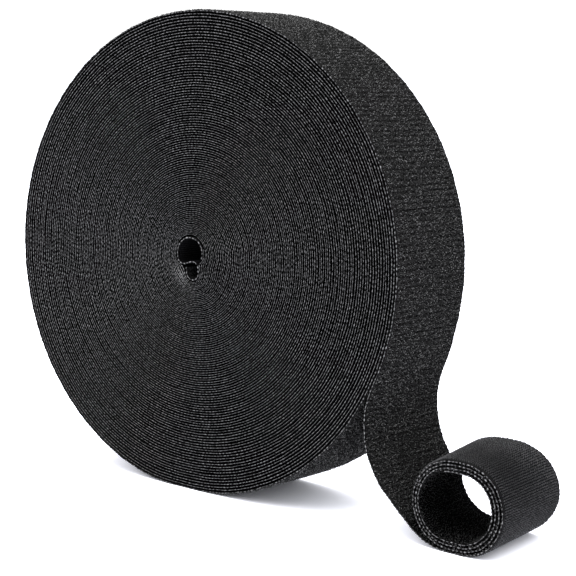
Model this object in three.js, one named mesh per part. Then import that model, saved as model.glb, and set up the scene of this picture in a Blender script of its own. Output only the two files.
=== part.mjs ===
// A roll of back-to-back hook and loop tape that stands on its rim, with its outer end let down and curled.
// Millimetres. X runs along the floor to the curled end, Y along the roll's axis from the front face to the
// back face, Z up from the floor. The origin is the middle of the flat that the roll stands on.
import * as THREE from "three";

// The tape
const TAPE_WIDTH = 40;
const LOOP_LAYER = 0.25; // woven ground that carries the loops
const HOOK_LAYER = 0.25; // ground that carries the hooks
const BOND_GAP = 0.06; // room for the adhesive film between the two grounds

// The roll
const ROLL_RADIUS = 83; // outer face of the tape where it leaves the roll
const TURN_GAP = 0.44; // room for hooks and loops between two turns
const WOUND_TURNS = 17; // outer turns that are wound; the turns inside them are one plain ring
const STEPS_PER_TURN = 24;
const LEAD_OFF_DEG = -23.9; // where the tape leaves the roll, from +X towards +Z
const FOOT_CUT = 0.056; // depth of the flats that the roll and the curl stand on

// The hole in the roll, with the inner end of the tape folded over in it
const BORE_X = -2.4; // middle of the large lobe, from the roll's axis
const BORE_Z = 2.2;
const LARGE_LOBE_RADIUS = 5.2; // clear radius
const SMALL_LOBE_RADIUS = 2.6;
const LOBE_RUN = 1.3; // straight tape between the two lobes
const LOBE_DIRECTION_DEG = -80; // from the large lobe to the small one
const LARGE_LOBE_TURN_DEG = 255; // how far the tape runs round each lobe
const SMALL_LOBE_TURN_DEG = 285;
const SEAT_GAP = 0.4; // between the inner end and the ring round it

// The tail and the curl at its end
const TAIL_BEND_RADIUS = 29.6;
const TAIL_SLOPE_DEG = -41;
const LANDING_RADIUS = 23;
const CURL_RADIUS = 14.42; // middle of the tape, outermost turn
const CURL_FLAT = 4.1; // level run under the curl
const CURL_DRIFT = 0.15; // how much longer the level run over the curl is
const CURL_GAP = 0.54; // between two turns of the curl, at the front edge
const CURL_SPRING = 0.28; // how far a turn has sprung out at the back edge, for each turn before it
const CURL_HALF_TURNS = 7;
const CURL_END_TURN_DEG = 15; // what the inner end runs past the last half turn

// How far the back edge stands along X from the front edge
const BEND_SWAY = 4.1; // near the end of the tail's bend, where it is most
const BEND_SWAY_SHARE = 0.8; // how much of the bend lies before that place
const FLEX_SWAY = 0.5; // at the end of the bend
const LANDING_SWAY = -7.2; // where the slope ends
const CURL_SWAY = -3.3; // on the side of the curl away from the roll
const CURL_FLARE = 3.7; // how much wider the curl is at its back edge
const FLEX_GAP = 0.6; // clear length of tape at each place that flexes

const TAPE = LOOP_LAYER + BOND_GAP + HOOK_LAYER;
const PITCH = TAPE + TURN_GAP;
const CURL_PITCH = TAPE + CURL_GAP;
const STEP = (2 * Math.PI) / STEPS_PER_TURN;
const FLOOR_LINE = TAPE / 2 - FOOT_CUT;
const rad = THREE.MathUtils.degToRad;

// A pose on the tape's middle line: place, heading in the XZ plane, and sway of the back edge.
const left = (heading) => new THREE.Vector2(-Math.sin(heading), Math.cos(heading));
const ahead = (heading) => new THREE.Vector2(Math.cos(heading), Math.sin(heading));

// Moves a pose along a straight run, or along an arc that turns to the left, or to the right if turn < 0.
function advance(pose, { run = 0, radius = 0, turn = 0 }, share = 1) {
  const heading = pose.heading + turn * share;
  const at = pose.at.clone().addScaledVector(ahead(pose.heading), run * share);
  if (turn !== 0) {
    const arm = radius * Math.sign(turn);
    at.addScaledVector(left(pose.heading), arm).addScaledVector(left(heading), -arm);
  }
  return { at, heading, sway: pose.sway };
}

// Lists the stations of a path made of runs and arcs; each segment may name the sway at its end.
function follow(start, segments) {
  const stations = [start];
  let pose = start;
  for (const segment of segments) {
    const steps = Math.max(1, Math.ceil(Math.abs(segment.turn ?? 0) / STEP - 1e-6));
    const swayEnd = segment.sway ?? pose.sway;
    for (let i = 1; i <= steps; i += 1) {
      const next = advance(pose, segment, i / steps);
      next.sway = THREE.MathUtils.lerp(pose.sway, swayEnd, i / steps);
      stations.push(next);
    }
    pose = stations.at(-1);
  }
  return stations.map(({ at, heading, sway }) => ({
    at,
    normal: left(heading),
    sway,
    turned: heading - start.heading,
    spring: 0,
  }));
}

// A point on the front or back edge of the tape, at an offset to the left of its middle line.
function edgePoint({ at, normal, sway, spring }, offset, back) {
  const point = at.clone().addScaledVector(normal, back ? offset - spring : offset);
  if (back) point.x += sway;
  return point;
}

// A closed strip that follows the stations, from one offset to another.
function strip(stations, low, high) {
  const positions = [];
  const triangles = [];
  const corner = (station, offset, back) => {
    const { x, y } = edgePoint(station, offset, back);
    positions.push(x, back ? TAPE_WIDTH / 2 : -TAPE_WIDTH / 2, Math.max(0, y));
  };
  for (const station of stations) {
    corner(station, high, false);
    corner(station, high, true);
    corner(station, low, true);
    corner(station, low, false);
  }
  const last = 4 * (stations.length - 1);
  for (let i = 0; i < last; i += 4) {
    for (let k = 0; k < 4; k += 1) {
      const a = i + k;
      const b = i + ((k + 1) % 4);
      // A twisted side splits the same way on both faces of the tape, so that two layers stay clear.
      if (k === 2) triangles.push(a, a + 4, b, a + 4, b + 4, b);
      else triangles.push(a, a + 4, b + 4, a, b + 4, b);
    }
  }
  triangles.push(0, 1, 2, 0, 2, 3);
  triangles.push(last, last + 2, last + 1, last, last + 3, last + 2);
  const geometry = new THREE.BufferGeometry();
  geometry.setAttribute("position", new THREE.Float32BufferAttribute(positions, 3));
  geometry.setIndex(triangles);
  geometry.computeVertexNormals();
  return geometry;
}

// The least distance between one face of the tape and the other face, half a turn or more further on,
// along its front or back edge.
function leastGap(stations, apart, back) {
  const face = (offset) => stations.map((station) => edgePoint(station, offset, back));
  const faces = [face(TAPE / 2), face(-TAPE / 2)];
  const nearest = new THREE.Vector2();
  let least = Infinity;
  for (const [near, far] of [faces, faces.toReversed()]) {
    near.forEach((point, i) => {
      for (let j = 0; j + 1 < far.length; j += 1) {
        if (Math.min(Math.abs(i - j), Math.abs(i - j - 1)) < apart) continue;
        const edge = far[j + 1].clone().sub(far[j]);
        const share = THREE.MathUtils.clamp(point.clone().sub(far[j]).dot(edge) / edge.lengthSq(), 0, 1);
        nearest.copy(far[j]).addScaledVector(edge, share);
        least = Math.min(least, nearest.distanceTo(point));
      }
    });
  }
  return least;
}

// The wound turns. Their corners share one set of angles with a level side under the roll, so that
// no turn cuts its neighbour. Turns count inwards from the place where the tape leaves the roll.
const leadOff = rad(LEAD_OFF_DEG);
const firstCorner = -Math.PI / 2 + STEP * (Math.ceil((leadOff + Math.PI / 2) / STEP - 0.5) + 0.5);
const middleRadius = (angle) => ROLL_RADIUS - TAPE / 2 - (PITCH * (angle - leadOff)) / (2 * Math.PI);
const lowestAngle = 1.5 * Math.PI + STEP / 2;
const axisHeight = (middleRadius(lowestAngle) + TAPE / 2) * Math.cos(STEP / 2) - FOOT_CUT;
const axis = new THREE.Vector2(0, axisHeight);
const onRoll = (angle, radius) => ahead(angle).multiplyScalar(radius).add(axis);
const woundStation = (angle) => ({
  at: onRoll(angle, middleRadius(angle)),
  normal: ahead(angle),
  sway: 0,
  spring: 0,
});

const cornerAngle = (k) => firstCorner + k * STEP;
const woundSteps = Math.round(WOUND_TURNS * STEPS_PER_TURN);
const woundCorners = Array.from({ length: woundSteps + 1 }, (_, k) => woundStation(cornerAngle(k)));
const [innerCorner, beforeInner] = [woundCorners.at(-1), woundCorners.at(-2)];
const innerShare = SEAT_GAP / innerCorner.at.distanceTo(beforeInner.at);
woundCorners[woundSteps] = {
  at: innerCorner.at.clone().lerp(beforeInner.at, innerShare),
  normal: innerCorner.normal.clone().lerp(beforeInner.normal, innerShare),
  sway: 0,
  spring: 0,
};
const woundLine = [...woundCorners.toReversed(), woundStation(leadOff + FLEX_GAP / 2 / ROLL_RADIUS)];

// The tail: round its bend, as far as the place where it flexes.
const flexStart = { at: onRoll(leadOff, middleRadius(leadOff)), heading: leadOff - Math.PI / 2, sway: 0 };
const slope = rad(TAIL_SLOPE_DEG);
const bendTurn = slope - flexStart.heading;
const skipped = FLEX_GAP / 2 / TAIL_BEND_RADIUS;
const tailStart = advance(flexStart, { radius: TAIL_BEND_RADIUS, turn: skipped });
const tailLine = follow(tailStart, [
  { radius: TAIL_BEND_RADIUS, turn: bendTurn * BEND_SWAY_SHARE - skipped, sway: BEND_SWAY },
  { radius: TAIL_BEND_RADIUS, turn: bendTurn * (1 - BEND_SWAY_SHARE) - skipped, sway: FLEX_SWAY },
]);
const tailFlex = advance({ ...flexStart, sway: FLEX_SWAY }, { radius: TAIL_BEND_RADIUS, turn: bendTurn });

// The rest of the tape: down the slope, onto the floor and into the curl.
const landingDrop = LANDING_RADIUS * (1 - Math.cos(slope));
const slopeRun = (tailFlex.at.y - FLOOR_LINE - landingDrop) / Math.sin(-slope);
const slopeStart = advance(tailFlex, { run: FLEX_GAP / 2 });
const landing = { radius: LANDING_RADIUS, turn: -slope };
const curlStart = advance(advance(tailFlex, { run: slopeRun }), landing);
const curlHalves = Array.from({ length: CURL_HALF_TURNS + 1 }, (_, k) => [
  { run: k % 2 === 0 ? CURL_FLAT : CURL_FLAT + CURL_DRIFT },
  { radius: CURL_RADIUS - (k * CURL_PITCH) / 2, turn: Math.PI },
]);
curlHalves.at(-1)[1].turn = rad(CURL_END_TURN_DEG);
const turnsOfCurl = follow(curlStart, curlHalves.flat());
const nearSide = Math.min(...turnsOfCurl.map(({ at }) => at.x));
const farSide = Math.max(...turnsOfCurl.map(({ at }) => at.x));
const curlSway = (x) => CURL_SWAY - (CURL_FLARE * (farSide - x)) / (farSide - nearSide);
const sprungTurns = turnsOfCurl.map((station) => ({
  ...station,
  sway: curlSway(station.at.x),
  spring: (CURL_SPRING * station.turned) / (2 * Math.PI),
}));
const slopeLine = follow(slopeStart, [
  { run: slopeRun - FLEX_GAP / 2, sway: LANDING_SWAY },
  { ...landing, sway: curlSway(curlStart.at.x) },
]);
const curlLine = [...slopeLine, ...sprungTurns.slice(1)];

// The inner end: out of the small lobe and, turning the other way, round the large one.
const largeMiddle = LARGE_LOBE_RADIUS + TAPE / 2;
const smallMiddle = SMALL_LOBE_RADIUS + TAPE / 2;
const lobeSum = largeMiddle + smallMiddle;
const largeLobe = new THREE.Vector2(BORE_X, BORE_Z).add(axis);
const lobeDistance = Math.hypot(lobeSum, LOBE_RUN);
const lobeDirection = rad(LOBE_DIRECTION_DEG);
const smallLobe = largeLobe.clone().addScaledVector(ahead(lobeDirection), lobeDistance);
const lobeHeading = lobeDirection + Math.PI + Math.atan2(lobeSum, LOBE_RUN);
const endHeading = lobeHeading - rad(SMALL_LOBE_TURN_DEG);
const endStart = {
  at: smallLobe.clone().addScaledVector(left(endHeading), -smallMiddle),
  heading: endHeading,
  sway: 0,
};
const innerEndLine = follow(endStart, [
  { radius: smallMiddle, turn: rad(SMALL_LOBE_TURN_DEG) },
  { run: LOBE_RUN },
  { radius: largeMiddle, turn: -rad(LARGE_LOBE_TURN_DEG) },
]);

// The turns inside the wound ones, as one ring with an egg-shaped hole round both lobes.
function innerRing() {
  const outer = new THREE.Shape();
  const ringCorners = Array.from({ length: STEPS_PER_TURN + 1 }, (_, k) => {
    const angle = cornerAngle(woundSteps + k);
    return onRoll(angle, middleRadius(angle) + TAPE / 2);
  });
  outer.setFromPoints(ringCorners);
  const reach = TAPE + SEAT_GAP;
  const largeRadius = LARGE_LOBE_RADIUS + reach;
  const smallRadius = SMALL_LOBE_RADIUS + reach;
  const tangent = Math.acos((largeRadius - smallRadius) / lobeDistance);
  const hole = new THREE.Path();
  const [from, to] = [lobeDirection + tangent, lobeDirection - tangent];
  hole.absarc(largeLobe.x, largeLobe.y, largeRadius, from, to + 2 * Math.PI, false);
  hole.absarc(smallLobe.x, smallLobe.y, smallRadius, to, from, false);
  outer.holes.push(hole);
  const geometry = new THREE.ExtrudeGeometry(outer, {
    depth: TAPE_WIDTH,
    bevelEnabled: false,
    curveSegments: STEPS_PER_TURN,
  });
  return geometry.rotateX(Math.PI / 2).translate(0, TAPE_WIDTH / 2, 0);
}

const loopGround = { color: "#2e2e30", roughness: 0.95, metalness: 0 };
const hookGround = { color: "#1d1d1f", roughness: 0.7, metalness: 0 };
const roll = new THREE.Group();

function addNode(name, geometry, finish) {
  const mesh = new THREE.Mesh(geometry, new THREE.MeshStandardMaterial(finish));
  mesh.name = name;
  roll.add(mesh);
}

function addTape(name, line) {
  addNode(`${name}_loop_layer`, strip(line, BOND_GAP / 2, BOND_GAP / 2 + LOOP_LAYER), loopGround);
  addNode(`${name}_hook_layer`, strip(line, -BOND_GAP / 2 - HOOK_LAYER, -BOND_GAP / 2), hookGround);
}

addNode("inner_windings", innerRing(), hookGround);
addTape("outer_windings", woundLine);
addTape("inner_end", innerEndLine);
addTape("tail", tailLine);
addTape("end_curl", curlLine);

const halfTurn = STEPS_PER_TURN / 2;
const wound = { "outer windings": woundLine, "end curl": curlLine, "inner end": innerEndLine };
for (const [name, line] of Object.entries(wound)) {
  const gaps = [false, true].map((back) => leastGap(line, halfTurn, back).toFixed(3));
  console.log(`${name}: ${gaps.join(" and ")} mm least gap to itself at the front and back edges`);
}
console.log(`roll axis height ${axisHeight.toFixed(3)} mm`);
for (const [name, pose] of [["lead-off", flexStart], ["end of the bend", tailFlex]]) {
  const place = [pose.at.x + pose.sway / 2, 0, pose.at.y].map((value) => value.toFixed(3));
  console.log(`flexes at the ${name}: ${place.join(", ")} mm, sway ${pose.sway} mm`);
}

export default roll;
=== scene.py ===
# %% [markdown]
# A roll of black back-to-back hook and loop tape stands on its rim. Its outer end leaves the roll at the
# lower right, bends down to the floor and is curled up there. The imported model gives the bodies, the joints
# and the box. Every piece below is worked out in millimetres in that frame and goes into its mesh in metres.

import bpy
import numpy as np
from mathutils import Matrix, Vector


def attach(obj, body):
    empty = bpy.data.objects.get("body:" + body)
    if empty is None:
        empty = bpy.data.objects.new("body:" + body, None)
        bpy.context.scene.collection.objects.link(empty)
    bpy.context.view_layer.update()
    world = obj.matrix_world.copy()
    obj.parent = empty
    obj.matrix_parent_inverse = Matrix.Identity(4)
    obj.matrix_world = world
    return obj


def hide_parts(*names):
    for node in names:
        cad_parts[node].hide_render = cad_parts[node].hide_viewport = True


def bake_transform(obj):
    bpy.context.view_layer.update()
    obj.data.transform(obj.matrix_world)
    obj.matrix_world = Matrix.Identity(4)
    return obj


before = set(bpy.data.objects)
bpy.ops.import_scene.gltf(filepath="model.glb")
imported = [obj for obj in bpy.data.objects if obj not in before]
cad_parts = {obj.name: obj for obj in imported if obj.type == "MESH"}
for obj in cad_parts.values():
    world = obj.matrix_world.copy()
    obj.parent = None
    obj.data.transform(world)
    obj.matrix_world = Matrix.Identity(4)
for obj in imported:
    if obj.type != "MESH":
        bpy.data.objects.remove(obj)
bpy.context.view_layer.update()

MM = 0.001

# %% [markdown]
# The tape is one strip, so lines describe all of it: the inner end that is folded over in the hole, the
# spiral from the hole outwards, the bend where the tape leaves the roll, the slope to the floor and the
# curl. Each point of a line has a length s along the tape and a place in the XZ plane. A curve with a bevel
# could draw such a strip, but its loops and hooks would need a way to follow it. The sizes are those of the
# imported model, which draws the turns with 24 sides. Here the turns are round and go through its corners.

# %% Sizes of the tape and the roll, in millimetres
WIDTH = 40.0
FRONT = -WIDTH / 2
SIDES = (("front", -1), ("back", 1))
TAPE = 0.56
AXIS_HEIGHT = 81.404
LEAD_OFF = np.radians(-23.9)
ROLL_RADIUS = 83.0 - TAPE / 2
PITCH_AT_AXIS = 0.60
PITCH_GROWTH = 0.42
OUTER_TURNS = 17.0
print(f"tape {WIDTH:g} mm wide, roll about {2 * ROLL_RADIUS:.0f} mm across")


# %% [markdown]
# The bent stretches are worked out from their curvature, as a road is set out: heading is the integral of
# curvature, and place is the integral of heading. They could be drawn as curves by hand, but this way their
# lengths are known and no bend has a kink.

# %% Lines made of runs and arcs
def trace(start_x, start_z, heading, segments, step=0.05):
    """Follows segments of (length, curvature), and gives length, place and heading at equal steps."""
    ends = np.cumsum([length for length, _ in segments])
    bends = np.array([curvature for _, curvature in segments])
    s = np.arange(0.0, ends[-1], step)
    curvature = bends[np.searchsorted(ends, s, side="right").clip(0, len(bends) - 1)]
    headings = heading + np.concatenate([[0.0], np.cumsum(curvature[:-1] * step)])
    middle = headings + curvature * step / 2
    x = start_x + np.concatenate([[0.0], np.cumsum(np.cos(middle[:-1]) * step)])
    z = start_z + np.concatenate([[0.0], np.cumsum(np.sin(middle[:-1]) * step)])
    return s, x, z, headings


def arc(radius, degrees):
    """One segment: an arc of so many degrees, to the left, or to the right where they are negative."""
    return radius * abs(np.radians(degrees)), np.sign(degrees) / radius


print(f"half a turn at a radius of 10 mm is {arc(10.0, 180)[0]:.1f} mm of tape")

# %% [markdown]
# There is no core. The inner end of the tape is folded over in the hole: it runs down and round a small lobe,
# over the top of it, turns back and goes round a large lobe. So the hole is an 8, and the turns that are
# wound round it follow that 8 at first and are rounder and rounder further out. A ring with a dent would be
# quicker to make, but the fold with its loose end is what the eye finds in the middle of the face.

# %% Inner end in the hole
SMALL_LOBE = 2.6
LOBE_CORNER = 2.8
LARGE_LOBE = 5.5
INNER_START = (-3.82, -4.5)
INNER_HEADING = np.radians(-82.0)
small_lobe = [(1.9, 0), arc(SMALL_LOBE, 180), (1.2, 0), arc(SMALL_LOBE, 104)]
large_lobe = [(2.1, 0), arc(LOBE_CORNER, -112), (1.0, 0), arc(LARGE_LOBE, -195)]
inner_s, inner_x, inner_z, _ = trace(*INNER_START, INNER_HEADING, small_lobe + large_lobe)
INNER_END = inner_s[-1]
print(f"inner end {INNER_END:.0f} mm long, {np.ptp(inner_x):.1f} by {np.ptp(inner_z):.1f} mm")

# %% [markdown]
# The first wound turn lies on that 8. Its reach at 120 bearings from the middle of the hole is that of the
# furthest point of the inner end there, plus the room of a turn. Bearings that meet no outer stretch of the 8
# are bridged, and the reach is smoothed, because a turn can't follow the waist of the 8 into its corners.

# %% Reach of the hole
HOLE_AT = np.array([-2.0, -2.4])
HOLE_SEAT = 0.66
BEARINGS = 120
BRIDGED_BELOW = 2.6


def bell(count):
    """Weights for smoothing: a raised cosine of so many points, which sums to 1."""
    return np.hanning(count) / np.hanning(count).sum()


bearing = np.arctan2(inner_z - HOLE_AT[1], inner_x - HOLE_AT[0])
distance = np.hypot(inner_z - HOLE_AT[1], inner_x - HOLE_AT[0])
ring_angle = np.linspace(-np.pi, np.pi, BEARINGS + 1)[:-1]
ring_reach = np.zeros(BEARINGS)
nearest = np.round((bearing + np.pi) * (BEARINGS / 2) / np.pi).astype(int) % BEARINGS
np.maximum.at(ring_reach, nearest, distance)
outermost = ring_reach > BRIDGED_BELOW
ring_reach = np.interp(ring_angle, ring_angle[outermost], ring_reach[outermost], period=2 * np.pi)
ring_reach = np.convolve(np.tile(ring_reach, 3), bell(7), "same")[BEARINGS : 2 * BEARINGS] + HOLE_SEAT
HOLE_RADIUS = ring_reach.mean()
print(f"the first turn lies {ring_reach.min():.1f} to {ring_reach.max():.1f} mm from the middle of the hole")

# %% [markdown]
# The radius of the spiral follows a pitch that grows with the radius, because the inner turns are pulled
# tighter. That could be summed turn by turn, but it has a closed form, which also gives the number of turns.
# The roll is soft, so its weight flattens it a little where it stands.

# %% Wound turns
HOLE_FADE = 7.0
DRIFT_FADE = 14.0
FOOT_SINK = 0.77
FOOT_HALF = 14.0
FOOT_FADE = 10.0
SPIRAL_SHIFT = PITCH_AT_AXIS * ROLL_RADIUS / PITCH_GROWTH
WOUND_POINTS = 60001


def spiral_radius(turn):
    """Radius so many turns inwards: dr/du = -(a + b r/R) gives r = (R + k) e^(-bu/R) - k with k = aR/b."""
    return (ROLL_RADIUS + SPIRAL_SHIFT) * np.exp(-PITCH_GROWTH * turn / ROLL_RADIUS) - SPIRAL_SHIFT


def turns_to_radius(radius):
    """How many turns inwards a radius lies, the inverse of spiral_radius."""
    share = (radius + SPIRAL_SHIFT) / (ROLL_RADIUS + SPIRAL_SHIFT)
    return -np.log(share) * ROLL_RADIUS / PITCH_GROWTH


def spiral_place(turn):
    """Middle of the tape so many turns inwards: r (cos a, sin a) about a centre that drifts to the hole.

    At a distance d from the hole, the drift fades as e^(-d/14), and the hole's own reach at that angle, which
    r takes beside it, as e^(-d/7). Over the floor, z is raised by h e^(-(x/14)^2) e^(-(z + h)/10), where h is
    how far a round roll would sink into the floor.
    """
    r = spiral_radius(turn)
    depth = r - HOLE_RADIUS
    angle = LEAD_OFF + 2 * np.pi * turn
    reach = np.interp(angle, ring_angle, ring_reach, period=2 * np.pi)
    r = r + (reach - HOLE_RADIUS) * np.exp(-depth / HOLE_FADE)
    drift = np.exp(-depth / DRIFT_FADE)
    x = HOLE_AT[0] * drift + r * np.cos(angle)
    z = AXIS_HEIGHT + HOLE_AT[1] * drift + r * np.sin(angle)
    return x, z + FOOT_SINK * np.exp(-((x / FOOT_HALF) ** 2) - (z + FOOT_SINK) / FOOT_FADE)


INNER_TURNS = turns_to_radius(HOLE_RADIUS)
turns = np.linspace(INNER_TURNS, 0.0, WOUND_POINTS)
wound_x, wound_z = spiral_place(turns)
wound_s = np.concatenate([[0.0], np.cumsum(np.hypot(np.diff(wound_x), np.diff(wound_z)))])
wound_s -= wound_s[-1]
print(f"{INNER_TURNS:.0f} turns, {-wound_s[0] / 1000:.1f} m of tape on the roll")

# %% [markdown]
# The free end bends away from the roll, runs down a slope, lands, and winds up in half turns that each have
# a level run before them. Its lengths s count from the place where the tape leaves the roll. A plain spiral
# could make the curl, but a curled tape sags into an oval, and half turns with runs between them give that.

# %% Sizes of the free end, in millimetres
TAIL_BEND_RADIUS = 29.6
TAIL_SLOPE = np.radians(-41.0)
LANDING_RADIUS = 23.0
FLOOR_LINE = 0.224
CURL_RADIUS = 14.42
CURL_FLAT = 4.1
CURL_DRIFT = 0.15
CURL_PITCH = 1.1
CURL_HALF_TURNS = 7
CURL_END_TURN = 15.0

lead_heading = LEAD_OFF - np.pi / 2
bend_length = TAIL_BEND_RADIUS * (TAIL_SLOPE - lead_heading)
bend_end_z = wound_z[-1] - TAIL_BEND_RADIUS * (np.cos(TAIL_SLOPE) - np.cos(lead_heading))
slope_run = (bend_end_z - FLOOR_LINE - LANDING_RADIUS * (1 - np.cos(TAIL_SLOPE))) / np.sin(-TAIL_SLOPE)
landing_length = -LANDING_RADIUS * TAIL_SLOPE
half_radii = CURL_RADIUS - CURL_PITCH / 2 * np.arange(CURL_HALF_TURNS + 1)
half_flats = CURL_FLAT + CURL_DRIFT * (np.arange(CURL_HALF_TURNS + 1) % 2)
half_turns = [180.0] * CURL_HALF_TURNS + [CURL_END_TURN]
free_parts = [(bend_length, 1 / TAIL_BEND_RADIUS), (slope_run, 0), (landing_length, 1 / LANDING_RADIUS)]
for flat, radius, degrees in zip(half_flats, half_radii, half_turns):
    free_parts += [(flat, 0), arc(radius, degrees)]
free_s, free_x, free_z, free_heading = trace(wound_x[-1], wound_z[-1], lead_heading, free_parts)
SLOPE_END = bend_length + slope_run
CURL_BEGIN = SLOPE_END + landing_length
TAPE_END = free_s[-1]
print(f"{TAPE_END:.0f} mm of tape let down, {TAPE_END - CURL_BEGIN:.0f} mm of it in the curl")

# %% [markdown]
# A strip that is let down and curled by hand is never square to the roll. Its back edge stands to one side
# of its front edge, by a different amount along the tape, and the curl is wider and more open at the back.
# A modifier could twist a mesh like that, but two numbers along the line also carry the loops and hooks: the
# sway along X, and how far a turn has sprung outwards.

# %% Sway and spring of the back edge, in millimetres
SWAY_AT = [-16.0, 0.0, 0.8 * bend_length, bend_length, SLOPE_END]
SWAYS = [0.0, 0.6, 4.1, 0.5, -7.2]
SWAY_FROM = -40.0
SWAY_STEP = 0.25
SWAY_POINTS = 41
CURL_SWAY = -2.6
CURL_FLARE = 5.2
CURL_SPRING = 0.45

in_curl = free_s >= CURL_BEGIN
near_side, far_side = free_x[in_curl].min(), free_x[in_curl].max()
free_sway = CURL_SWAY - CURL_FLARE * (far_side - free_x) / (far_side - near_side)
curl_sway = np.interp(CURL_BEGIN, free_s, free_sway)
free_sway = np.where(in_curl, free_sway, np.interp(free_s, SWAY_AT + [CURL_BEGIN], SWAYS + [curl_sway]))
wound_sway = np.interp(wound_s, SWAY_AT, SWAYS)
free_spring = np.where(in_curl, CURL_SPRING * free_heading / (2 * np.pi), 0.0)

even_s = np.arange(SWAY_FROM, TAPE_END, SWAY_STEP)
tape_s = np.concatenate([wound_s, free_s[1:]])
even_sway = np.interp(even_s, tape_s, np.concatenate([wound_sway, free_sway[1:]]))
even_sway = np.convolve(np.pad(even_sway, SWAY_POINTS // 2, "edge"), bell(SWAY_POINTS), "valid")
print(f"the back edge sways by {even_sway.min():.1f} to {even_sway.max():.1f} mm")

# %% [markdown]
# A point of the tape has three numbers that a weaver would use: the length along it, the place across its
# width, and the height over its middle, to the loop side. One function carries such points to their place, so
# each piece is made as on a straight tape and bent by the same rule, and nothing slips at the bends.

# %% Places beside the tape's line
FLOOR_GAP = 0.02


def tape_line(s, x, z, sway, spring):
    """Keeps a line with its left normal, which points to the loop side: n = (-dz/ds, dx/ds), of length 1."""
    dx, dz = np.gradient(x, s), np.gradient(z, s)
    size = np.hypot(dx, dz)
    return {"s": s, "x": x, "z": z, "nx": -dz / size, "nz": dx / size, "sway": sway, "spring": spring}


def place(line, s, y, off):
    """Point at length s, at y across the width, off to the loop side: p + (off - t spring) n + t sway.

    Here t goes from 0 at the front edge to 1 at the back edge. No point goes below the floor.
    """
    s, y, off = np.broadcast_arrays(s, y, off)
    at = {key: np.interp(s, line["s"], line[key]) for key in ("x", "z", "nx", "nz", "sway", "spring")}
    share = (y - FRONT) / WIDTH
    out = off - share * at["spring"]
    x = at["x"] + out * at["nx"] + share * at["sway"]
    z = np.maximum(at["z"] + out * at["nz"], FLOOR_GAP)
    return np.stack([x, y, z], axis=-1)


def length_at_turn(turn):
    """Length along the tape at so many turns inwards."""
    return np.interp(-turn, -turns, wound_s)


tape_x = np.concatenate([wound_x, free_x[1:]])
tape_z = np.concatenate([wound_z, free_z[1:]])
tape_spring = np.concatenate([np.zeros(len(wound_s)), free_spring[1:]])
tape = tape_line(tape_s, tape_x, tape_z, np.interp(tape_s, even_s, even_sway), tape_spring)
print("the tape ends at", np.round(place(tape, TAPE_END, 0.0, 0.0), 1), "mm")


# %% [markdown]
# All pieces go into meshes by the same two helpers. One takes points and quads as whole arrays; the other
# makes the quads of a grid. Faces could be added one by one, but there are over nine hundred thousand. The
# UV map of a strip holds real millimetres, along the tape and across it, so that every pattern on the tape
# can be written in real sizes.

# %% Mesh helpers
def put_mesh(name, points, quads, uv, material):
    """Makes an object at the origin from points in millimetres, quads and one UV per point."""
    mesh = bpy.data.meshes.new(name)
    mesh.vertices.add(len(points))
    mesh.vertices.foreach_set("co", (points * MM).astype(np.float32).ravel())
    mesh.loops.add(quads.size)
    mesh.loops.foreach_set("vertex_index", quads.astype(np.int32).ravel())
    mesh.polygons.add(len(quads))
    mesh.polygons.foreach_set("loop_start", np.arange(0, quads.size, 4, dtype=np.int32))
    mesh.polygons.foreach_set("use_smooth", np.ones(len(quads), bool))
    layer = mesh.uv_layers.new(name="tape")
    layer.data.foreach_set("uv", uv[quads.ravel()].astype(np.float32).ravel())
    mesh.update(calc_edges=True)
    mesh.materials.append(material)
    piece = bpy.data.objects.new(name, mesh)
    bpy.context.collection.objects.link(piece)
    print(f"{name}: {2 * len(quads)} triangles")
    return piece


def grid_quads(rows, columns, around=False):
    """Quads of a grid of points, numbered row by row; around joins the last column to the first."""
    i, j = np.meshgrid(np.arange(rows - 1), np.arange(columns if around else columns - 1), indexing="ij")
    k = (j + 1) % columns
    quads = [i * columns + j, (i + 1) * columns + j, (i + 1) * columns + k, i * columns + k]
    return np.stack(quads, axis=-1).reshape(-1, 4)


print("the first quad of a grid with 3 columns joins the points", grid_quads(2, 3)[0])


# %% [markdown]
# The tape is dyed nylon throughout. What differs is how each surface was made: the selvage is woven and
# shows each weft turn as a bead, the loop side is brushed and fuzzy, and the hook side carries rows of stiff
# monofilament hooks on a flat ground. All are near black, and rough enough to keep reflections low. A picture
# of the weave could be laid on, but patterns from nodes are written in millimetres and stay sharp close up.

# %% Material helpers
NYLON_IOR = 1.53


def linear(colour):
    """Linear RGBA of an sRGB hex colour: c / 12.92 up to 0.04045, above it ((c + 0.055) / 1.055) ^ 2.4."""
    c = np.array([int(colour[i : i + 2], 16) for i in (1, 3, 5)]) / 255
    return (*np.where(c <= 0.04045, c / 12.92, ((c + 0.055) / 1.055) ** 2.4), 1.0)


def add(tree, kind, settings, links):
    """Adds a node: settings fill its properties, or its sockets by name or number; links join its sockets."""
    node = tree.nodes.new(kind)
    for key, value in settings.items():
        if isinstance(key, str) and hasattr(node, key):
            setattr(node, key, value)
        else:
            node.inputs[key].default_value = value
    for key, output in links.items():
        tree.links.new(output, node.inputs[key])
    return node


def nylon(name, roughness, specular):
    """A new nylon material: the material, its node tree, its shader, its UV and the UV's two numbers."""
    material = bpy.data.materials.new(name)
    material.use_nodes = True
    tree = material.node_tree
    shader = tree.nodes["Principled BSDF"]
    shader.inputs["Roughness"].default_value = roughness
    shader.inputs["IOR"].default_value = NYLON_IOR
    shader.inputs["Specular IOR Level"].default_value = specular
    uv = add(tree, "ShaderNodeUVMap", {"uv_map": "tape"}, {}).outputs["UV"]
    split = add(tree, "ShaderNodeSeparateXYZ", {}, {"Vector": uv}).outputs
    return material, tree, shader, uv, split


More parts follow.
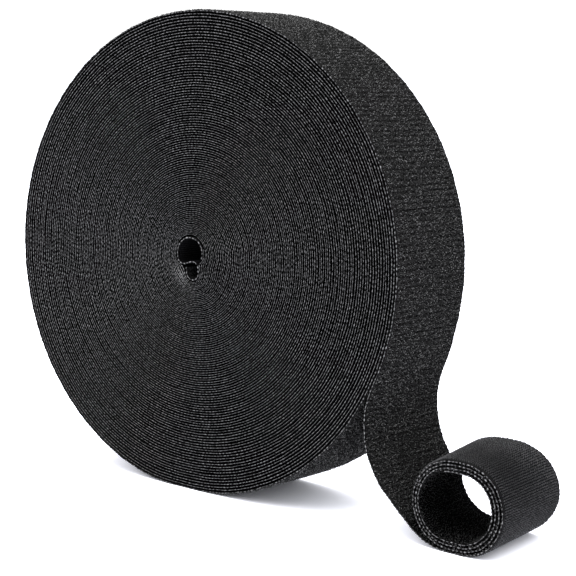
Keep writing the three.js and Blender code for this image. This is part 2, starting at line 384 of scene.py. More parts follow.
def wave(tree, length, period):
    """A wave from 0 to 1 along a length in millimetres: (1 + sin(2 pi length / period)) / 2."""
    angle = add(tree, "ShaderNodeMath", {"operation": "MULTIPLY", 1: 2 * np.pi / period}, {0: length})
    sine = add(tree, "ShaderNodeMath", {"operation": "SINE"}, {0: angle.outputs[0]})
    half = {"operation": "MULTIPLY_ADD", 1: 0.5, 2: 0.5}
    return add(tree, "ShaderNodeMath", half, {0: sine.outputs[0]}).outputs[0]


def tone(tree, shader, factor, low, high, dark, light):
    """Base colour from dark to light as the factor goes from low to high."""
    span = {"From Min": low, "From Max": high}
    share = add(tree, "ShaderNodeMapRange", span, {"Value": factor}).outputs[0]
    mix = {"data_type": "RGBA", 6: linear(dark), 7: linear(light)}
    tree.links.new(add(tree, "ShaderNodeMix", mix, {0: share}).outputs[2], shader.inputs["Base Color"])


print("sRGB #808080 is", np.round(linear("#808080")[:3], 3), "in linear light")

# %% [markdown]
# A selvage is the woven edge of the tape. Its weft turns back in a small bulge every 1.4 mm, and each bulge
# catches the light, so the edge is a row of light beads. Each bead of the wound turns could be a mesh of its
# own, but a tone that rises and falls along the edge shows the same at this size: a painted highlight on each
# bead. Only the crown is light: the UV of a selvage holds the depth below it, and the tone falls with that
# depth, a painted shade down the sides of the ridge. Wear is a noise with spots of about 1.1 mm.

# %% Woven nylon selvage: beads with painted highlights, painted shade below the crown
BEAD = 1.42
BEAD_LIGHT = 0.19
DEPTH_SHADE = -2.0
WEAR_PER_MM = 0.9


def woven_selvage():
    """The tone follows wear + 0.19 bead - 2 depth: the bead term is a painted highlight, the depth term a
    painted shade.
    """
    material, tree, shader, uv, split = nylon("woven_nylon_selvage", 0.6, 0.04)
    bead = wave(tree, split["X"], BEAD)
    spots = {"noise_dimensions": "2D", "Scale": WEAR_PER_MM, "Detail": 3.0}
    worn = add(tree, "ShaderNodeTexNoise", spots, {"Vector": uv}).outputs["Fac"]
    beaded = {"operation": "MULTIPLY_ADD", 1: BEAD_LIGHT}
    both = add(tree, "ShaderNodeMath", beaded, {0: bead, 2: worn}).outputs[0]
    shaded = {"operation": "MULTIPLY_ADD", 1: DEPTH_SHADE}
    crown = add(tree, "ShaderNodeMath", shaded, {0: split["Y"], 2: both}).outputs[0]
    tone(tree, shader, crown, 0.3, 1.0, "#020202", "#959596")
    return material


SELVAGE = woven_selvage()
print("material:", SELVAGE.name)

# %% [markdown]
# The loop side is knitted and then brushed, which breaks up the surface into fuzz. Under the loops the ground
# shows ribs across the width and a fine mottle; its tone follows their height, so the grooves between ribs get
# painted shade. Real rows of loops are closer together than these ribs, which are drawn as coarse as they need
# to be to show. Loops differ in tone at random, and the few light ones stand in for loops that catch the
# light, a painted highlight. Each loop carries a number of its own in its UV, and the material turns that into
# a tone, so one material serves them all.

# %% Brushed nylon loop side: dark, fuzzy ground and dull yarn
PICK = 1.9
RIB_HEIGHT = 0.16
FUZZ_PER_MM = 1.4
FUZZ_DEPTH = 0.5


def brushed_loop_ground():
    """Height is fuzz + 0.16 rib, and the bump follows it; so does the tone, a random mottle with painted shade
    in the grooves.
    """
    material, tree, shader, uv, split = nylon("brushed_nylon_loop_ground", 0.85, 0.0)
    tufts = {"noise_dimensions": "2D", "Scale": FUZZ_PER_MM, "Detail": 3.0}
    fuzz = add(tree, "ShaderNodeTexNoise", tufts, {"Vector": uv}).outputs["Fac"]
    rib = wave(tree, split["X"], PICK)
    ribbed = {"operation": "MULTIPLY_ADD", 1: RIB_HEIGHT}
    relief = add(tree, "ShaderNodeMath", ribbed, {0: rib, 2: fuzz}).outputs[0]
    depth = {"Strength": 1.0, "Distance": FUZZ_DEPTH * MM}
    bump = add(tree, "ShaderNodeBump", depth, {"Height": relief})
    tree.links.new(bump.outputs["Normal"], shader.inputs["Normal"])
    tone(tree, shader, relief, 0.4, 0.8, "#050505", "#242424")
    return material


def loop_yarn():
    """The tone follows the loop's own number; the few light loops are painted highlights."""
    material, tree, shader, _, split = nylon("brushed_nylon_loop_yarn", 0.5, 0.06)
    tone(tree, shader, split["X"], 0.0, 1.0, "#070707", "#848484")
    return material


LOOP_GROUND = brushed_loop_ground()
LOOP_YARN = loop_yarn()
print("materials:", LOOP_GROUND.name, LOOP_YARN.name)

# %% [markdown]
# The hook side is a flat weave with monofilament hooks. Monofilament is smooth, so hooks are a little
# glossier than yarn. Real hooks stand closer together; these are as far apart as they need to be to show.
# The tone of the weave follows its height, so its hollows get painted shade. Between the turns of the roll
# only the tips of crushed pile show, about 0.4 mm each, in deep shade, so the pile is painted near black:
# a painted shade, which also serves inside the curl and on the wall of the innermost turn.

# %% Woven hook ground, nylon hooks and pile in painted shade
HOOK_ROW = 0.8
HOOK_COLUMN = 0.75
WEAVE_DEPTH = 0.15
TIPS_PER_MM = 2.5


def woven_hook_ground():
    """Height is the product of two waves, along and across; the bump follows it, and so does the tone, a
    painted shade in the hollows.
    """
    material, tree, shader, _, split = nylon("woven_nylon_hook_ground", 0.65, 0.02)
    waves = {0: wave(tree, split["X"], HOOK_ROW), 1: wave(tree, split["Y"], HOOK_COLUMN)}
    weave = add(tree, "ShaderNodeMath", {"operation": "MULTIPLY"}, waves).outputs[0]
    depth = {"Strength": 1.0, "Distance": WEAVE_DEPTH * MM}
    bump = add(tree, "ShaderNodeBump", depth, {"Height": weave})
    tree.links.new(bump.outputs["Normal"], shader.inputs["Normal"])
    tone(tree, shader, weave, 0.0, 1.0, "#060607", "#161617")
    return material


def hook_monofilament():
    """The tone follows the hook's own number."""
    material, tree, shader, _, split = nylon("nylon_hook_monofilament", 0.4, 0.15)
    tone(tree, shader, split["X"], 0.0, 1.0, "#101011", "#5e5e60")
    return material


def make_pile_in_painted_shade():
    """Near black, a painted shade; the tone follows a fine noise."""
    material, tree, shader, uv, _ = nylon("nylon_pile_in_painted_shade", 0.95, 0.0)
    tips = {"noise_dimensions": "2D", "Scale": TIPS_PER_MM, "Detail": 3.0}
    crushed = add(tree, "ShaderNodeTexNoise", tips, {"Vector": uv}).outputs["Fac"]
    tone(tree, shader, crushed, 0.3, 0.7, "#020202", "#070708")
    return material


HOOK_GROUND = woven_hook_ground()
HOOKS = hook_monofilament()
PAINTED_SHADE_PILE = make_pile_in_painted_shade()
print("materials:", HOOK_GROUND.name, HOOKS.name, PAINTED_SHADE_PILE.name)

# %% [markdown]
# No roll is wound quite true. Each turn stands a little in or out of its neighbours, its edge is uneven, and
# where the hole's waist presses on the first turns, they bulge out. A random number for each turn would make
# a step where the turn ends, so slow sines set how far turns stand out, and only the edge itself is random.

# %% How true the turns lie
WANDER = ((0.10, 0.117, 0.4), (0.08, 0.293, 1.9))
BULGE_ANGLE = np.radians(-130.0)
BULGE_HEIGHT = 0.9
BULGE_AT = 2.0
BULGE_REACH = 2.4
BULGE_SPREAD = 0.5
KEEP_SPREAD = 0.577


def bulge(turn):
    """A bell beside the hole: 0.9 e^(-((d - 2)/2.4)^2) e^(-(a/0.5)^2), d from the hole, a the angle aside."""
    depth = spiral_radius(turn) - HOLE_RADIUS
    aside = np.angle(np.exp(1j * (LEAD_OFF + 2 * np.pi * turn - BULGE_ANGLE)))
    return BULGE_HEIGHT * np.exp(-(((depth - BULGE_AT) / BULGE_REACH) ** 2) - (aside / BULGE_SPREAD) ** 2)


def proud(turn):
    """How far a turn stands out of the face: slow sines of the turn number, and the bulge beside the hole."""
    slow = [size * np.sin(2 * np.pi * rate * turn + phase) for size, rate, phase in WANDER]
    return slow[0] + slow[1] + bulge(turn)


def ragged(rng, count, size):
    """Unevenness along an edge: random numbers summed over three neighbours, times 1 / root 3."""
    return size * np.convolve(rng.normal(size=count + 2), np.full(3, KEEP_SPREAD), "valid")


print(f"turns stand out of the face by {proud(turns).min():.2f} to {proud(turns).max():.2f} mm")

# %% [markdown]
# The flat faces of the roll show some ninety selvages edge on. Each is a rounded ridge that follows the
# spiral. Whole turns of tape could be modelled, but the ridges alone, over a floor of pile in painted shade,
# keep the mesh small. The ridge is painted darker down both its sides, a painted shade for the deep pile
# there, and turns that bulge out beside the hole are painted lighter, a painted light.

# %% Selvages of the wound turns
SELVAGE_STEP = 1.2
RIDGE_OFF = np.array([-1.0, -0.8, 0.0, 0.8, 1.0])
RIDGE_DEPTH = np.array([1.3, 0.16, 0.0, 0.16, 1.3])
RIDGE_SHADE = np.array([1.3, 0.2, 0.0, 0.2, 1.3])
RIDGE_HALF = 0.15
BULGE_LIGHT = 0.16
FIRST_TURN = 1.12
LAST_TURN = INNER_TURNS - 0.02


def wound_selvage(name, first_turn, last_turn, side, seed):
    """A ridge along the spiral: its section (off, depth) is carried along s, uneven by a few hundredths."""
    rng = np.random.default_rng(seed)
    s = np.arange(length_at_turn(last_turn), length_at_turn(first_turn), SELVAGE_STEP)
    turn = np.interp(s, wound_s, turns)
    pitch = PITCH_AT_AXIS + PITCH_GROWTH * spiral_radius(turn) / ROLL_RADIUS
    half = pitch * (RIDGE_HALF + ragged(rng, len(s), 0.02))
    off = half[:, None] * RIDGE_OFF + ragged(rng, len(s), 0.035)[:, None]
    out = proud(turn) + ragged(rng, len(s), 0.05)
    y = side * (WIDTH / 2 + out[:, None] - RIDGE_DEPTH)
    points = place(tape, s[:, None], y, off)
    # Turns that bulge out get less painted shade, so they read lighter: a painted light.
    shade = RIDGE_SHADE - BULGE_LIGHT * bulge(turn)[:, None]
    uv = np.stack(np.broadcast_arrays(s[:, None], shade), axis=-1).reshape(-1, 2)
    quads = grid_quads(len(s), len(RIDGE_OFF))
    return put_mesh(name, points.reshape(-1, 3), quads if side < 0 else quads[:, ::-1], uv, SELVAGE)


outer_faces = []
inner_faces = []
for name, side in SIDES:
    outer_faces.append(wound_selvage(f"{name}_selvages_outer_turns", FIRST_TURN, OUTER_TURNS, side, 3 + side))
    inner_faces.append(wound_selvage(f"{name}_selvages_inner_turns", OUTER_TURNS, LAST_TURN, side, 7 + side))

# %% [markdown]
# In the gaps between the selvages the loops of one turn lie against the hooks of the next. They are crushed
# and in deep shade, so one sheet on each face, a little below the selvages, stands for all of them; it is
# painted near black for that shade, a painted shade.

# %% Pile between the turns
PILE_GRID = (48, 121)
PILE_DEPTH = 1.0
PILE_LAG = 0.2
PILE_FROM = 0.14


def pile_floor(name, first_turn, last_turn, side):
    """The pile in the gaps: rings of the spiral at equal steps of turn.

    It lies 1 mm below the face, and 1.2 mm below a turn that stands out by more than 0.2 mm.
    """
    rows, columns = PILE_GRID
    turn = np.linspace(first_turn, last_turn, rows)[:, None] + np.linspace(0.0, 1.0, columns)
    x, z = spiral_place(turn)
    y = side * (WIDTH / 2 - PILE_DEPTH + np.maximum(proud(turn) - PILE_LAG, 0.0))
    points = np.stack([x, y, np.maximum(z, FLOOR_GAP)], axis=-1).reshape(-1, 3)
    uv = np.stack([x, z], axis=-1).reshape(-1, 2)
    quads = grid_quads(rows, columns)
    return put_mesh(name, points, quads[:, ::-1] if side < 0 else quads, uv, PAINTED_SHADE_PILE)


pile_faces = []
for name, side in SIDES:
    pile_faces.append(pile_floor(f"{name}_pile_between_turns", PILE_FROM, LAST_TURN - 1.0, side))

# %% [markdown]
# Where the tape shows its flat sides it is a real strip: two grounds bonded back to back. Each ground is a
# closed strip, a flat section carried along the line. A sheet with a Solidify modifier would do for one
# strip, but this way both grounds keep their thickness and their UV in millimetres all along.

# %% Grounds of the tape
LOOP_SPAN = (0.03, 0.28)
HOOK_SPAN = (-0.28, -0.03)
GROUND_EDGE = WIDTH / 2 - 0.3
GROUND_BEVEL = 0.2
GROUND_STEP = 0.8
ACROSS = 13
LEAD_FROM = length_at_turn(0.11)
BEND_SPLIT = 0.5 * bend_length


def ground(name, line, s_from, s_to, span, material):
    """A closed strip: a flat section (y, off) of 30 points, carried along the line from s_from to s_to."""
    count = int(np.ceil((s_to - s_from) / GROUND_STEP)) + 1
    s = np.linspace(s_from, s_to, count)
    top = np.stack([np.linspace(-1.0, 1.0, ACROSS) * (GROUND_EDGE - GROUND_BEVEL), np.ones(ACROSS)], axis=-1)
    right_end = np.array([[GROUND_EDGE, 0.5], [GROUND_EDGE, -0.5]])
    section = np.concatenate([top, right_end, top[::-1] * [1, -1], -right_end])
    y = section[None, :, 0]
    off = (span[0] + span[1]) / 2 + section[None, :, 1] * (span[1] - span[0]) / 2
    points = place(line, s[:, None], y, off)
    uv = np.stack(np.broadcast_arrays(s[:, None], y), axis=-1).reshape(-1, 2)
    i = np.arange(ACROSS - 1)
    under = 2 * ACROSS + 1
    ends = [np.arange(ACROSS - 1, ACROSS + 3), [under, under + 1, under + 2, 0]]
    cap = np.concatenate([np.stack([i, i + 1, under - 1 - i, under - i], axis=-1), ends])
    walls = grid_quads(count, len(section), around=True)
    quads = np.concatenate([walls, cap[:, ::-1], cap + len(section) * (count - 1)])
    return put_mesh(name, points.reshape(-1, 3), quads, uv, material)


stretches = {
    "outer_turn": (length_at_turn(1.13), LEAD_FROM),
    "lead_off": (LEAD_FROM, BEND_SPLIT),
    "tail": (BEND_SPLIT, SLOPE_END),
    "end_curl": (SLOPE_END, TAPE_END),
}
loop_strips = {}
hook_strips = {}
for key, (s_from, s_to) in stretches.items():
    # Inside the curl the loop ground takes the near-black pile material: a painted shade.
    under_loops = PAINTED_SHADE_PILE if key == "end_curl" else LOOP_GROUND
    loop_strips[key] = ground(f"{key}_loop_ground", tape, s_from, s_to, LOOP_SPAN, under_loops)
    hook_strips[key] = ground(f"{key}_hook_ground", tape, s_from, s_to, HOOK_SPAN, HOOK_GROUND)

# %% [markdown]
# Each edge of a strip has a selvage that wraps both grounds. Here it is seen close up and against the white
# floor, so its beads are real: the ridge swells at each of them. On the roll they press flat, on the curl
# they stand free, so each stretch has its own size of bead, and its own extra darkening, which the material
# adds to the painted shade below the crown.

# %% Woven edges of the tape
EDGE_OFF = np.array([-0.4, -1.0, -0.8, -0.25, 0.25, 0.8, 1.0, 0.4])
EDGE_DEPTH = np.array([1.0, 0.8, 0.18, 0.0, 0.0, 0.18, 0.8, 1.0])
EDGE_SHADE = np.array([1.0, 0.8, 0.25, 0.03, 0.03, 0.25, 0.8, 1.0])
EDGE_HALF = 0.34
STEPS_PER_BEAD = 4
BEADS = {"outer_turn": (0.03, 0.07), "lead_off": (0.05, 0.05), "tail": (0.08, 0.05), "end_curl": (0.1, 0.06)}


def edge_selvage(name, line, s_from, s_to, side, seed, bead, dim):
    """The woven edge of a strip: a ridge round both grounds that swells at each bead, with lips in them."""
    rng = np.random.default_rng(seed)
    count = int(np.ceil((s_to - s_from) * STEPS_PER_BEAD / BEAD)) + 1
    s = np.linspace(s_from, s_to, count)
    swell = np.sin(2 * np.pi * s / BEAD)
    half = EDGE_HALF + bead * swell + ragged(rng, count, 0.03)
    sway = 0.05 * np.sin(s / 1.9) + 0.04 * np.sin(s / 0.83 + 1.0)
    off = sway[:, None] + half[:, None] * EDGE_OFF
    y = side * (WIDTH / 2 + (bead * swell + ragged(rng, count, 0.05))[:, None] - EDGE_DEPTH)
    points = place(line, s[:, None], y, off)
    # The UV holds the depth below the crown, which the material turns into painted shade, plus the stretch's
    # extra darkening.
    uv = np.stack(np.broadcast_arrays(s[:, None], dim + EDGE_SHADE), axis=-1).reshape(-1, 2)
    ring = len(EDGE_OFF)
    i = np.arange(ring // 2 - 1)
    cap = np.stack([i, i + 1, ring - 2 - i, ring - 1 - i], axis=-1)
    quads = np.concatenate([grid_quads(count, ring, around=True), cap[:, ::-1], cap + ring * (count - 1)])
    return put_mesh(name, points.reshape(-1, 3), quads if side < 0 else quads[:, ::-1], uv, SELVAGE)


edges = {}
for seed, (key, (s_from, s_to)) in enumerate(stretches.items()):
    edges[key] = [
        edge_selvage(f"{key}_{name}_selvage", tape, s_from, s_to, side, 40 + 2 * seed + side, *BEADS[key])
        for name, side in SIDES
    ]

# %% [markdown]
# The inner end in the hole is a strip as well, and so is the innermost turn, whose wall shows behind it. Both
# are made by the same functions, on the line of the 8 and on the first turn of the spiral.

# %% Strips in the hole
INNER_BEAD = (0.1, 0.05)
no_sway = np.zeros(len(inner_s))
inner_line = tape_line(inner_s, inner_x, inner_z + AXIS_HEIGHT, no_sway, no_sway)
inner_loop = ground("inner_end_loop_ground", inner_line, 0.0, INNER_END, LOOP_SPAN, LOOP_GROUND)
inner_hook = ground("inner_end_hook_ground", inner_line, 0.0, INNER_END, HOOK_SPAN, HOOK_GROUND)
inner_edges = [
    edge_selvage(f"inner_end_{name}_selvage", inner_line, 0.0, INNER_END, side, 60 + side, *INNER_BEAD)
    for name, side in SIDES
]
hole_from, hole_to = length_at_turn(INNER_TURNS - 0.01), length_at_turn(INNER_TURNS - 1.2)
# The wall of the innermost turn takes the near-black pile material: a painted shade in the hole.
hole_wall = ground("innermost_turn", tape, hole_from, hole_to, (-0.2, 0.2), PAINTED_SHADE_PILE)


# %% [markdown]
# Loops and hooks are thin bent yarns. Hair could draw them, but a mesh is what other tools can read. Each is
# a short tube whose middle line is an arch or a crook in the tape's own coordinates, carried to the tape by
# the same place function, and thousands share one mesh. Real yarns are about 0.1 mm thick, too thin to show
# here, so they are drawn half as thick again.

# %% Small bent yarns on the tape
YARN_SIDES = 3


def yarns(name, s, y, off, crook, turn, radius, shade, material):
    """Tubes on the tape: each crook (along, up) is laid at its own angle from s, with rings of one radius.

    ring = c + radius (cos b n + sin b m), c the middle line, n its normal in the crook's plane, m across it.
    """
    along, up = crook[..., 0], crook[..., 1]
    d_along, d_up = np.gradient(along, axis=1), np.gradient(up, axis=1)
    size = np.hypot(d_along, d_up)
    b = 2 * np.pi * np.arange(YARN_SIDES) / YARN_SIDES
    ring_along = along[..., None] - radius * np.cos(b) * (d_up / size)[..., None]
    ring_up = up[..., None] + radius * np.cos(b) * (d_along / size)[..., None]
    ring_across = np.broadcast_to(radius * np.sin(b), ring_along.shape)
    cos_t, sin_t = np.cos(turn)[:, None, None], np.sin(turn)[:, None, None]
    ps = s[:, None, None] + ring_along * cos_t - ring_across * sin_t
    py = y[:, None, None] + ring_along * sin_t + ring_across * cos_t
    points = place(tape, ps, py, off + np.sign(off) * ring_up).reshape(-1, 3)
    steps = crook.shape[1]
    one = grid_quads(steps, YARN_SIDES, around=True)
    quads = (one[None] + (np.arange(len(s)) * steps * YARN_SIDES)[:, None, None]).reshape(-1, 4)
    share = np.broadcast_to(np.linspace(0.0, 1.0, steps)[None, :, None], ps.shape)
    uv = np.stack([np.broadcast_to(shade[:, None, None], ps.shape), share], axis=-1).reshape(-1, 2)
    return put_mesh(name, points, quads[:, ::-1] if off > 0 else quads, uv, material)


print("a yarn of 5 rings has", 2 * len(grid_quads(5, YARN_SIDES, around=True)), "triangles")

# %% [markdown]
# Brushed loops lie every way, and part in short broken creases across the tape, more so where the roll pulls
# it tight. So each loop has its own place, size, angle and tone, drawn from one seed for each mesh. They are
# fewer and larger than real ones, which would not show. In the curl only the inner turn and the edges of the
# others show, so only these get loops.

# %% Brushed loops
LOOP_SPACING = 0.72
LOOP_JITTER = 0.4
LOOP_RADIUS = 0.07
LOOP_HALF_WIDTH = (0.12, 0.34)
LOOP_HEIGHT = (0.08, 0.42)
CREASE_HALF = 0.3


def creases(s, y):
    """Where rows of loops part: within 0.3 mm of every pick of the ground, broken by two sines of y."""
    pick = s / PICK + 0.25
    row = np.round(pick)
    broken = np.sin(0.7 * y + 2.4 * row) + np.sin(0.31 * y + 1.7 * row)
    return (np.abs(pick - row) * PICK < CREASE_HALF) & (broken > -0.3)


def loop_pile(name, s_from, s_to, seed, combed=0.2, light=1.0, y_from=FRONT + 0.7, y_to=-FRONT - 0.5):
    """Brushed loops, one to each square of 0.72 mm: half ellipses of random size, place, angle and tone.

    In the creases a share of them, combed, is left out. The tones are multiplied by light: below 1 it is a
    painted shade, above 1 a painted light.
    """
    rng = np.random.default_rng(seed)
    rows = np.arange(s_from + LOOP_JITTER, s_to, LOOP_SPACING)
    columns = np.arange(y_from, y_to, LOOP_SPACING)
    s, y = (grid.ravel() for grid in np.meshgrid(rows, columns, indexing="ij"))
    s = s + rng.uniform(-LOOP_JITTER, LOOP_JITTER, len(s))
    y = np.clip(y + rng.uniform(-LOOP_JITTER, LOOP_JITTER, len(y)), y_from - 0.2, y_to)
    stays = ~creases(s, y) | (rng.uniform(0.0, 1.0, len(s)) > combed)
    s, y = s[stays], y[stays]
    wide = rng.uniform(*LOOP_HALF_WIDTH, len(s))[:, None]
    high = rng.uniform(*LOOP_HEIGHT, len(s))[:, None]
    t = np.linspace(0.0, np.pi, 5)
    crook = np.stack([-wide * np.cos(t), high * np.sin(t)], axis=-1)
    turn = rng.normal(np.pi / 2, 0.6, len(s))
    shade = light * rng.beta(0.7, 2.2, len(s))
    return yarns(name, s, y, LOOP_SPAN[1], crook, turn, LOOP_RADIUS, shade, LOOP_YARN)


RIM_COMBED = [0.9, 0.9, 0.9, 0.9, 0.6]
EDGE_ROWS = {"front": FRONT + 0.3, "back": -FRONT - 0.3}
INSIDE_FROM = TAPE_END - 2.2 * np.pi * half_radii[-1]
cuts = np.linspace(length_at_turn(1.02), LEAD_FROM, len(RIM_COMBED) + 1)
rim_loops = [
    loop_pile(f"outer_turn_loops_{k + 1}", cuts[k], cuts[k + 1], 10 + k, combed)
    for k, combed in enumerate(RIM_COMBED)
]
lead_loops = loop_pile("lead_off_loops", LEAD_FROM, BEND_SPLIT, 21)
tail_loops = loop_pile("tail_loops", BEND_SPLIT, SLOPE_END, 22)
landing_loops = loop_pile("landing_loops", SLOPE_END, CURL_BEGIN, 23)
# Inside the curl the loops are painted darker, to 0.3 of their tone: a painted shade.
inside_loops = loop_pile("curl_inside_loops", INSIDE_FROM, TAPE_END, 24, light=0.3)
# At the edges of the curl the loops are painted a little lighter, to 1.1 of their tone: a painted light.
edge_loops = [
    loop_pile(f"curl_{name}_edge_loops", CURL_BEGIN, INSIDE_FROM, 26 + k, 0.0, 1.1, y_from, y_from + 0.2)
    for k, (name, y_from) in enumerate(EDGE_ROWS.items())
]


# %% [markdown]
# Hooks stand in straight rows, because the weave holds them. One column leans on along the tape, the next one
# back, so that the tape grips both ways. An Array modifier could repeat whole rows, but they would look as if
# stamped, so each hook has a small slip, a size and a tone of its own. Only the free stretches show hooks.

# %% Hooks
HOOK_SHAPE = np.array([[0.0, -0.05], [0.0, 0.3], [0.1, 0.45], [0.27, 0.46], [0.36, 0.3]])
HOOK_RADIUS = 0.08
HOOK_LEAN = 0.15
HOOK_SLIP = 0.08
HOOK_SPREAD = 0.05
HOOK_MARGIN = 0.9


def hook_pile(name, s_from, s_to, seed):
    """Hooks on the crests of the weave, one column leaning on, the next back: a stem, a bend and a tip."""
    rng = np.random.default_rng(seed)
    rows = HOOK_ROW * (np.arange(np.ceil(s_from / HOOK_ROW), np.floor(s_to / HOOK_ROW)) + 0.25)
    reach = np.floor((WIDTH / 2 - HOOK_MARGIN) / HOOK_COLUMN)
    columns = HOOK_COLUMN * (np.arange(-reach, reach + 1) + 0.25)
    s, y = np.meshgrid(rows, columns, indexing="ij")
    lean = np.broadcast_to(np.pi * (np.arange(len(columns)) % 2), s.shape).ravel()
    slip = np.broadcast_to(rng.uniform(-HOOK_SLIP, HOOK_SLIP, len(columns)), s.shape).ravel()
    s = s.ravel() + slip - HOOK_LEAN * np.cos(lean) + rng.normal(0.0, HOOK_SPREAD, s.size)
    y = y.ravel() + rng.normal(0.0, HOOK_SPREAD, y.size)
    crook = HOOK_SHAPE[None] * rng.uniform(0.7, 1.0, (len(s), 1, 1))
    # Slow patches of lighter and darker hooks stand in for hooks that lean in patches and so catch the light
    # differently: painted light and shade.
    patch = 0.6 + 0.2 * np.sin(s / 9.1 + y / 9.3) + 0.2 * np.sin(y / 8.2 - s / 13.7 + 1.0)
    shade = patch * rng.uniform(0.2, 1.0, len(s))
    return yarns(name, s, y, HOOK_SPAN[0], crook, lean, HOOK_RADIUS, shade, HOOKS)


HOOKS_FROM = 4.0
curl_turn = 2 * np.pi * CURL_RADIUS + 2 * CURL_FLAT
lead_hooks = hook_pile("lead_off_hooks", HOOKS_FROM, BEND_SPLIT, 31)
tail_hooks = hook_pile("tail_hooks", BEND_SPLIT, SLOPE_END, 32)
curl_hooks = hook_pile("curl_outside_hooks", SLOPE_END, CURL_BEGIN + curl_turn, 33)


# %% [markdown]
# The pieces on the roll ride on its imported body, and those on the curl on the curl's. The two stretches that
# cross a place where the tape flexes would have to be blended over a short length round it, so that the strip,
# its loops and its hooks bend together; a hard joint there would tear the strip open. Here they ride on no
# body: their places are baked into their meshes.

# %% Ride on the bodies
LEAD_FLEX_HALF = 7.0
TAIL_FLEX_HALF = 6.0


def metres(s):
    """The point on the tape's middle at length s, in metres."""
    return tuple(float(c) for c in place(tape, s, 0.0, 0.0) * MM)


on_roll = outer_faces + inner_faces + pile_faces + inner_edges + rim_loops + edges["outer_turn"]
on_roll += [loop_strips["outer_turn"], hook_strips["outer_turn"], inner_loop, inner_hook, hole_wall]
over_lead_off = [loop_strips["lead_off"], hook_strips["lead_off"], lead_loops, lead_hooks] + edges["lead_off"]
over_flex = [loop_strips["tail"], hook_strips["tail"], tail_loops, tail_hooks] + edges["tail"]
on_curl = [loop_strips["end_curl"], hook_strips["end_curl"], landing_loops, inside_loops, curl_hooks]
on_curl += edge_loops + edges["end_curl"]
flex_start = metres(bend_length - TAIL_FLEX_HALF)
flex_end = metres(bend_length + TAIL_FLEX_HALF)
for piece in on_roll:
    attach(piece, "roll")
for piece in over_lead_off:
    metres(-LEAD_FLEX_HALF)
    metres(LEAD_FLEX_HALF)
    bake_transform(piece)
for piece in over_flex:
    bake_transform(piece)
for piece in on_curl:
    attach(piece, "end_curl")
print(len(on_roll), "pieces on the roll and", len(on_curl), "on the curl")
print(len(over_lead_off + over_flex), "pieces blended where the tape flexes")

# %% [markdown]
# The imported solids stay in the scene but are hidden, and the pieces here show what they are. The imported
# solids stay for contact but don't show. The pieces are listed by the slot of the record whose finish suits
# them: selvages and pile under the wound tape, grounds with their loops or hooks under the loop tape or the
# hook tape.

# %% Hide the imported solids and list the pieces by slot
for piece in inner_faces:
    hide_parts("inner_windings")
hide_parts("outer_windings_loop_layer")
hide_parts("outer_windings_hook_layer")
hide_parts("inner_end_loop_layer")
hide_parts("inner_end_hook_layer")
for key in ("tail", "end_curl"):
    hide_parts(f"{key}_loop_layer")
    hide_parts(f"{key}_hook_layer")
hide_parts("tail_loop_layer")
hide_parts("tail_hook_layer")

curl_loops = [landing_loops, inside_loops, *edge_loops]
edges_and_wall = inner_edges + [hole_wall] + sum(edges.values(), [])
slots = {
    "loop_tape": [*loop_strips.values(), inner_loop, *rim_loops, lead_loops, tail_loops, *curl_loops],
    "hook_tape": [*hook_strips.values(), inner_hook, lead_hooks, tail_hooks, curl_hooks],
    "wound_tape": outer_faces + inner_faces + pile_faces + edges_and_wall,
}
for slot, pieces in slots.items():
    print(slot, "is the slot of", len(pieces), "pieces")

# %% [markdown]
# The free tape is cloth, cut 40 mm wide. The flat length of each stretch is worked out and printed. A cloth
# simulation isn't needed: the tape is stiff across its width, so it bends only along its line.

for key, (s_from, s_to) in stretches.items():
    flat = (WIDTH * MM, float(s_to - s_from) * MM)
print("flat lengths in mm:", {key: round(float(b - a), 1) for key, (a, b) in stretches.items()})
print(f"flat length of the inner end: {INNER_END:.1f} mm")

# %% [markdown]
# The table is white acrylic with light in it, as for a product picture on white. It glows, so shadows on it
# are pale and a little blue, and its glow is dimmed within 20 mm of what stands on it, which leaves a soft
# dark
# touch at the contact: a painted contact shadow. A plain white floor would turn grey under the roll.

# %% Floor
FLOOR_HALF = 8.0
TABLE_GLOW = 0.9
CONTACT_REACH = 0.02


def studio_floor():
    """A level square at z = 0, like a light table: white and glowing, its glow dimmed where things stand close
    over it: a painted contact shadow.
    """
    mesh = bpy.data.meshes.new("studio_floor")
    corners = ((-1, -1), (1, -1), (1, 1), (-1, 1))
    mesh.from_pydata([(x * FLOOR_HALF, y * FLOOR_HALF, 0) for x, y in corners], [], [(0, 1, 2, 3)])
    material = bpy.data.materials.new("white_acrylic")
    material.use_nodes = True
    tree = material.node_tree
    shader = tree.nodes["Principled BSDF"]
    shader.inputs["Base Color"].default_value = linear("#f0f0f8")
    shader.inputs["Roughness"].default_value = 0.9
    glow = {"samples": 8, "Color": linear("#f4f7ff"), "Distance": CONTACT_REACH}
    # Ambient occlusion dims the glow near what stands on the floor: a painted contact shadow.
    painted_contact_shadow = add(tree, "ShaderNodeAmbientOcclusion", glow, {})
    tree.links.new(painted_contact_shadow.outputs["Color"], shader.inputs["Emission Color"])
    shader.inputs["Emission Strength"].default_value = TABLE_GLOW
    mesh.materials.append(material)
    piece = bpy.data.objects.new("studio_floor", mesh)
    bpy.context.collection.objects.link(piece)
    print("floor:", material.name, "that glows at", TABLE_GLOW)


studio_floor()


# %% [markdown]
# A large softbox hangs overhead, a weaker one stands at the front left, and the studio is white all round,
# so the black tape is lit from everywhere and no highlight burns out. A lamp without size would draw hard
# shadows. The plain display transform keeps the white of the table and the black of the tape.

# %% Lights
STUDIO_LIGHT = 1.25


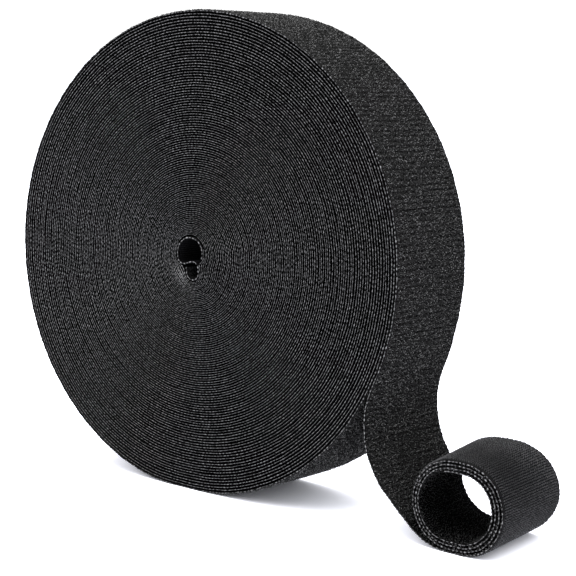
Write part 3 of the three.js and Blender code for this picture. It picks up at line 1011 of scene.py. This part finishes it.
def softbox(name, at, aim, size, power):
    """A square area light that looks from one point to another, all in metres and watts."""
    data = bpy.data.lights.new(name, "AREA")
    data.shape = "SQUARE"
    data.size = size
    data.energy = power
    light = bpy.data.objects.new(name, data)
    light.location = at
    light.rotation_euler = (Vector(aim) - Vector(at)).to_track_quat("-Z", "Y").to_euler()
    bpy.context.collection.objects.link(light)
    print(f"{name}: {size:g} m across, {power:g} W")


softbox("overhead_softbox", at=(0.1, -0.1, 1.4), aim=(0.03, 0.0, 0.0), size=2.2, power=52.0)
softbox("front_left_softbox", at=(-0.7, -1.0, 0.7), aim=(0.0, 0.0, 0.08), size=0.8, power=8.0)
world = bpy.data.worlds.new("white_studio")
world.use_nodes = True
world.node_tree.nodes["Background"].inputs["Color"].default_value = linear("#ffffff")
world.node_tree.nodes["Background"].inputs["Strength"].default_value = STUDIO_LIGHT
bpy.context.scene.world = world
bpy.context.scene.view_settings.view_transform = "Standard"

# %% [markdown]
# The camera stands where the photograph was taken from. Its direction, distance and lens were fitted to the
# outlines of the two faces of the roll and to the place where the curl touches the floor. A Track To
# constraint could aim it, but the photograph is also turned a little, so its three axes are worked out here.

# %% Camera
VIEW_AZIMUTH = np.radians(37.124)
VIEW_ELEVATION = np.radians(8.122)
VIEW_ROLL = np.radians(2.603)
VIEW_DISTANCE = 582.3
VIEW_AIM = Vector((40.242, FRONT, AXIS_HEIGHT - 6.307))
SENSOR = 36.0
LENS = 111.17
level = np.cos(VIEW_ELEVATION)
back = Vector((np.sin(VIEW_AZIMUTH) * level, -np.cos(VIEW_AZIMUTH) * level, np.sin(VIEW_ELEVATION)))
right = Vector((0, 0, 1)).cross(back).normalized()
up = back.cross(right)
tilted_right = np.cos(VIEW_ROLL) * right + np.sin(VIEW_ROLL) * up
tilted_up = np.cos(VIEW_ROLL) * up - np.sin(VIEW_ROLL) * right
camera = bpy.data.objects.new("photo_camera", bpy.data.cameras.new("photo_camera"))
camera.data.sensor_width = SENSOR
camera.data.lens = LENS
axes = Matrix((tilted_right, tilted_up, back)).transposed().to_4x4()
camera.matrix_world = Matrix.Translation((VIEW_AIM + VIEW_DISTANCE * back) * MM) @ axes
bpy.context.collection.objects.link(camera)
bpy.context.scene.camera = camera
print("camera at", [round(c, 3) for c in camera.matrix_world.translation], "m")
